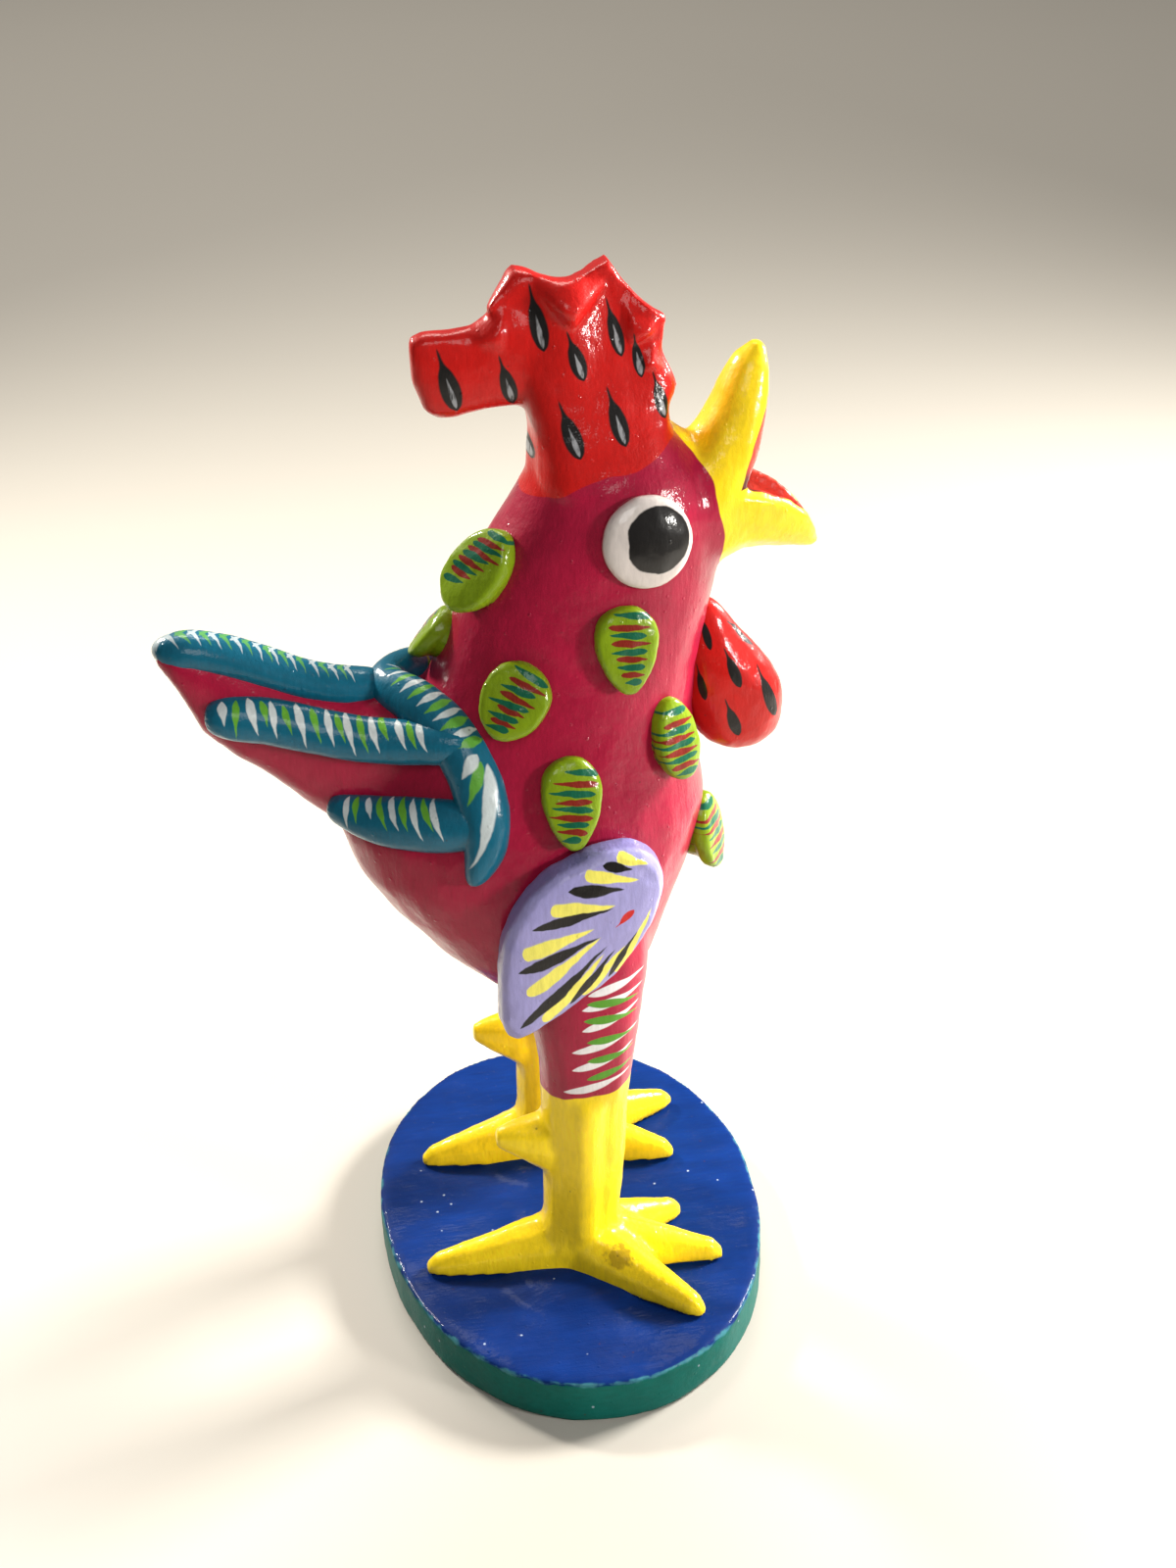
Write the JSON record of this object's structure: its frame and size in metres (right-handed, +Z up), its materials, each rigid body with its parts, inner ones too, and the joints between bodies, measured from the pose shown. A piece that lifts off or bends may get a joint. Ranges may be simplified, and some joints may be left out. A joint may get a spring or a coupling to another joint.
{
  "type": "papier-mache rooster figurine on an oval base",
  "caption": "A plump papier-mache rooster in glossy paint, with a tall scalloped comb, thick legs and striped feather pads, standing on an oval base.",
  "frame": {"origin": "the middle of the plinth's flat underside, which rests on the table", "axes": "+X is the way the bird faces, +Y its left, +Z up"},
  "size_m": [0.0971, 0.0874, 0.1692],
  "materials": {
    "magenta_paint": "glossy painted",
    "red_paint": "glossy painted",
    "blue_paint": "glossy painted",
    "petrol_paint": "glossy painted",
    "lime_paint": "glossy painted",
    "lilac_paint": "glossy painted",
    "white_paint": "glossy painted"
  },
  "bodies": {
    "root": {"base": "blue_paint", "eye_left": "white_paint", "eye_right": "white_paint", "feather_breast": "lime_paint", "feather_cheek_left": "lime_paint", "feather_cheek_right": "lime_paint", "feather_chest_left": "lime_paint", "feather_chest_right": "lime_paint", "feather_flank_left": "lime_paint", "feather_flank_right": "lime_paint", "feather_hackle": "lime_paint", "feather_nape_right": "lime_paint", "feather_shoulder_left": "lime_paint", "feather_shoulder_right": "lime_paint", "rooster": "magenta_paint", "tail_band": "petrol_paint", "tail_roll_lower_left": "petrol_paint", "tail_roll_lower_right": "petrol_paint", "tail_roll_middle_left": "petrol_paint", "tail_roll_middle_right": "petrol_paint", "tail_roll_top": "petrol_paint", "wattle": "red_paint", "wing_left": "lilac_paint", "wing_right": "lilac_paint"}
  },
  "joints": []
}
